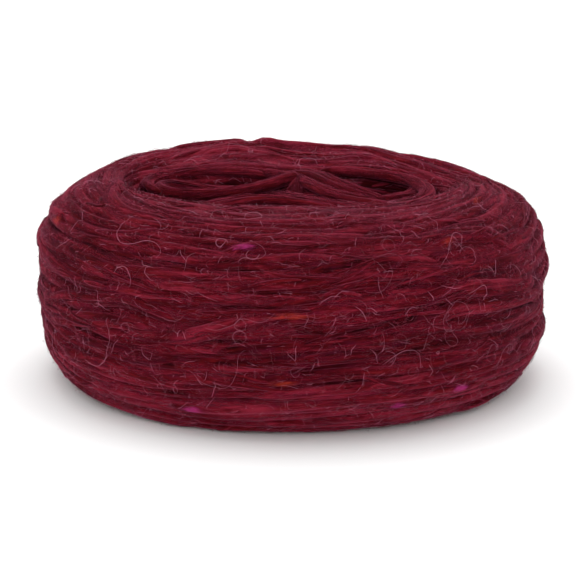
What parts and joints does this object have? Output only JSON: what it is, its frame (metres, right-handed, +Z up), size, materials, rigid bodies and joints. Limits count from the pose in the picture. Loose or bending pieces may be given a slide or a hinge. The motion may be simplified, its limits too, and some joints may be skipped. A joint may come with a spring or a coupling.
{
  "type": "plate of unspun wool yarn",
  "caption": "Flat round cake of unspun wool roving with soft shoulders, an oval hollow in its top and the loose inner end lying in the hollow.",
  "frame": {"origin": "middle of the underside, on the plane that it rests on", "axes": "+Z up along the plate's height, +X to the right and +Y to the back as it lies in the picture, with the hollow's long way along X"},
  "size_m": [0.1805, 0.1783, 0.0728],
  "materials": {
    "unspun_wool": "matt heathered wine-red carded wool with lighter stray fibres"
  },
  "bodies": {
    "root": {"wound_plate": "unspun_wool", "inner_end": "unspun_wool"}
  },
  "joints": []
}
